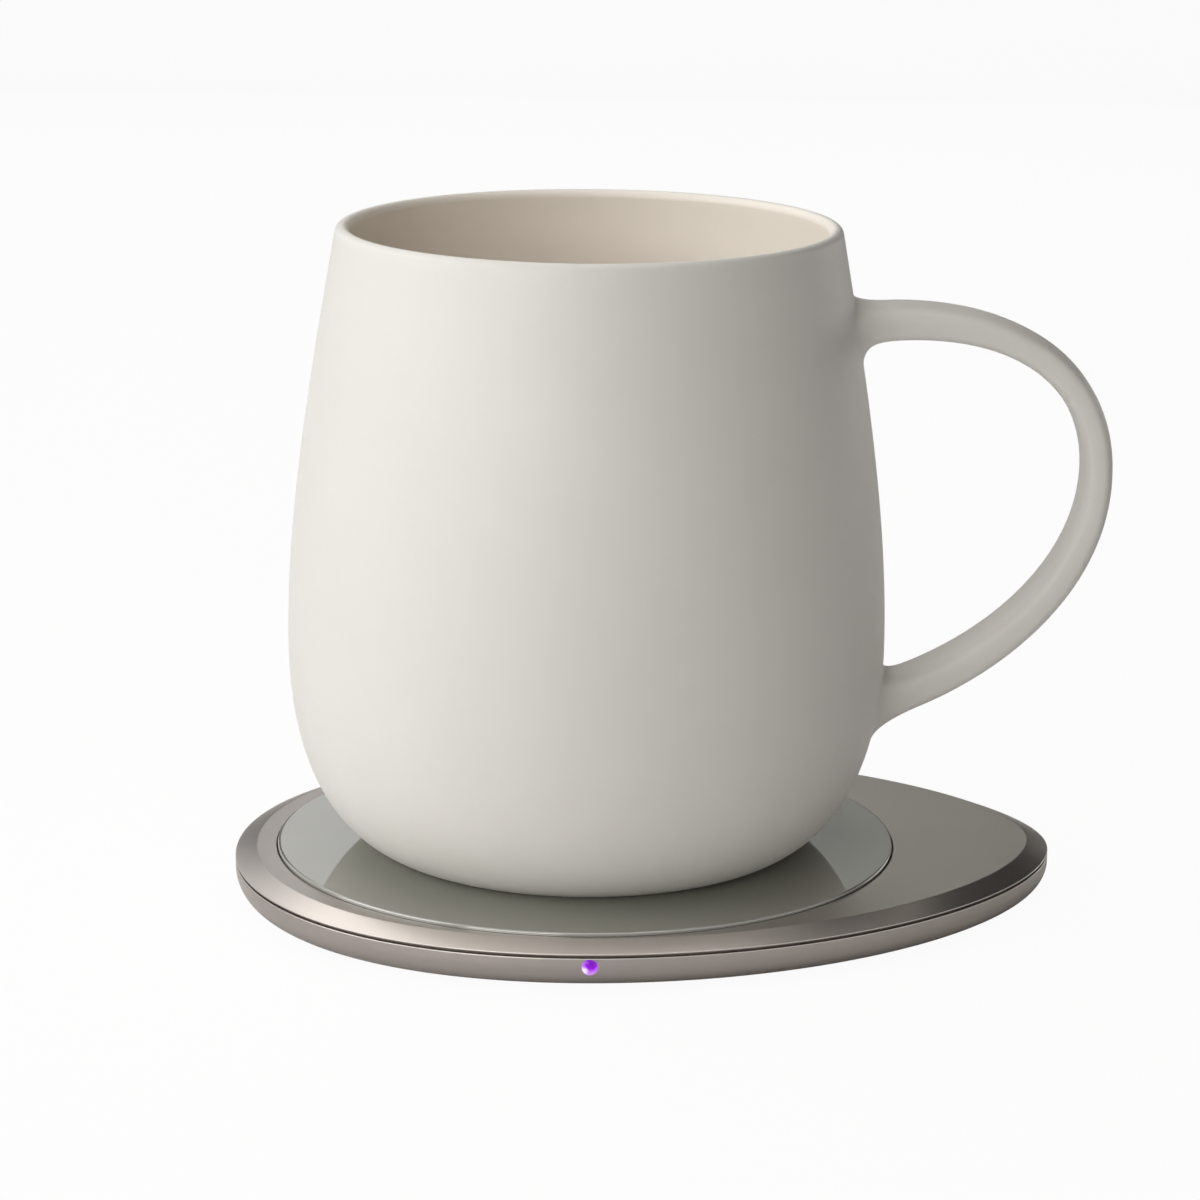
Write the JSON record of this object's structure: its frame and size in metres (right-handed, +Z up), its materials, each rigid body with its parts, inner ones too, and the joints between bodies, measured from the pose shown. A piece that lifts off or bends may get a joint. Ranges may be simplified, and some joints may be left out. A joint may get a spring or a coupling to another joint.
{
  "type": "self-heating mug with warming pad",
  "caption": "Barrel-shaped ceramic mug with a strap handle, heated through its foot, standing on a low egg-shaped metal induction pad with an inset glass disc and a status lamp.",
  "frame": {"origin": "on the mug's axis, on the surface that the pad stands on", "axes": "+Z up, +X along the mug's handle, -Y the front, where the lamp is"},
  "size_m": [0.1319, 0.1021, 0.1024],
  "materials": {
    "ceramic": "matte off-white glaze",
    "pad_metal": "warm grey anodised, fine bead-blast",
    "pale_glass": "polished, painted pale grey-green on its back",
    "dark_rubber": "matte",
    "foot_rubber": "soft, fine grain",
    "dark_plastic": "moulded, fine grain",
    "base_plastic": "moulded, fine grain",
    "screw_steel": "plated",
    "ferrite": "matte, pressed powder",
    "copper": "lacquered copper",
    "insulating_sheet": "amber film",
    "chip_plastic": "moulded, matte",
    "board": "green solder mask",
    "capacitor_body": "moulded",
    "lamp_violet": "lit violet lens",
    "thermal_rubber": "filled silicone"
  },
  "bodies": {
    "pad": {"top_cover": "pad_metal", "base_shell": "pad_metal", "seam_gasket": "dark_rubber", "glass_disc": "pale_glass", "glass_glue": "dark_rubber", "bottom_plate": "dark_plastic", "foot_mat": "foot_rubber", "bottom_screws": "screw_steel", "coil_tray": "dark_plastic", "ferrite_sheet": "ferrite", "power_coil": "copper", "coil_leads": "copper", "coil_insulator": "insulating_sheet", "temperature_sensor": "chip_plastic", "circuit_board": "board", "control_chips": "chip_plastic", "capacitors": "capacitor_body", "choke": "ferrite", "inlet_shell": "screw_steel", "inlet_tongue": "chip_plastic", "lamp_lens": "lamp_violet", "lamp_chip_led": "capacitor_body", "lamp_board": "board", "lamp_flex": "insulating_sheet"},
    "mug": {"mug_cup": "ceramic", "mug_handle": "ceramic", "base_cover": "base_plastic", "base_seal": "dark_rubber", "receiver_coil": "copper", "receiver_ferrite": "ferrite", "heater_sheet": "insulating_sheet", "heater_film": "insulating_sheet", "heater_track": "copper", "thermal_pad": "thermal_rubber", "thermal_cutoff": "screw_steel", "heater_pins": "screw_steel"}
  },
  "joints": [
    {"name": "mug_lift", "type": "slide", "parent": "pad", "child": "mug", "axis": [0, 0, 1], "range_m": [0, 0.12]}
  ]
}
